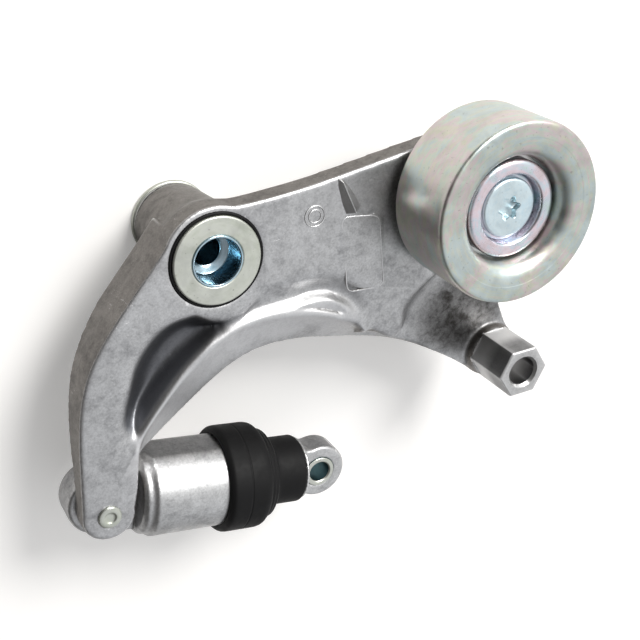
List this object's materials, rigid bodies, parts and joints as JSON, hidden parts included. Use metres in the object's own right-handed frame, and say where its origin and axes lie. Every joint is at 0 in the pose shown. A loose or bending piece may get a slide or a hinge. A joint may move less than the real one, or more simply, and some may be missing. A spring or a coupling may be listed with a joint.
{
  "type": "belt tensioner idler",
  "caption": "Accessory-belt tensioner: cast arm on a pivot sleeve, flat idler pulley on a sealed ball bearing, wrench hexagon, and a hydraulic strut pinned to the arm's ear.",
  "frame": {"origin": "on the pivot axis, on the rear face that seats on the engine", "axes": "+Z along the pivot axis towards the front of the pulley; +X from the pivot to the pulley's centre"},
  "size_m": [0.1953, 0.1492, 0.0753],
  "materials": {
    "die_cast_aluminium": "satin die casting, bead blasted, with fine scratches",
    "strut_aluminium": "bright turned aluminium",
    "yellow_zinc": "rainbow passivated zinc plate",
    "pale_zinc": "matte pale zinc plate",
    "bright_zinc": "bright blue zinc plate",
    "bearing_steel": "ground bearing steel",
    "spring_steel": "oiled spring steel",
    "bush_bronze": "sintered bronze",
    "black_rubber": "matte moulded rubber"
  },
  "bodies": {
    "pivot": {"pivot_sleeve": "bright_zinc", "front_thrust_washer": "pale_zinc", "rear_thrust_washer": "pale_zinc"},
    "arm": {"arm_casting": "die_cast_aluminium", "front_bush": "bush_bronze", "rear_bush": "bush_bronze", "front_seal_ring": "black_rubber", "rear_gasket": "black_rubber", "strut_pin": "bright_zinc", "pin_clip": "spring_steel", "bearing_inner_ring": "bearing_steel", "front_dust_shield": "yellow_zinc", "rear_dust_shield": "yellow_zinc", "pulley_spacer": "bright_zinc", "pulley_bolt": "bright_zinc"},
    "pulley": {"pulley_shell": "yellow_zinc", "bearing_outer_ring": "bearing_steel", "front_bearing_seal": "black_rubber", "rear_bearing_seal": "black_rubber"},
    "ball_cage": {"bearing_balls": "bearing_steel", "bearing_cage": "bush_bronze"},
    "strut": {"strut_body": "strut_aluminium", "upper_eye_bush": "bush_bronze", "pressure_sleeve": "bearing_steel", "snap_ring": "spring_steel", "guide_ring": "bush_bronze"},
    "rod": {"rod_end": "strut_aluminium", "plunger": "bearing_steel", "valve_seat": "bearing_steel", "valve_ball": "bearing_steel", "strut_spring": "spring_steel", "dust_boot": "black_rubber", "lower_eye_bush": "pale_zinc"}
  },
  "joints": [
    {"name": "arm_swing", "type": "hinge", "parent": "pivot", "child": "arm", "pos_m": [0, 0, 0], "axis": [0, 0, 1], "range_deg": [-12, 12]},
    {"name": "pulley_spin", "type": "hinge", "parent": "arm", "child": "pulley", "pos_m": [0.098, 0, 0], "axis": [0, 0, 1], "continuous": true},
    {"name": "cage_spin", "type": "hinge", "parent": "arm", "child": "ball_cage", "pos_m": [0.098, 0, 0], "axis": [0, 0, 1], "continuous": true},
    {"name": "strut_swing", "type": "hinge", "parent": "arm", "child": "strut", "pos_m": [-0.0524, -0.0826, 0], "axis": [0, 0, 1], "range_deg": [-15, 4]},
    {"name": "rod_slide", "type": "slide", "parent": "strut", "child": "rod", "axis": [0.9681, -0.2504, 0], "range_m": [-0.01, 0], "stiffness_N_per_m": 20000, "deforming": ["strut_spring", "dust_boot"]}
  ],
  "couplings": [
    {"joint": "cage_spin", "follows": "pulley_spin", "ratio": 0.6184}
  ]
}
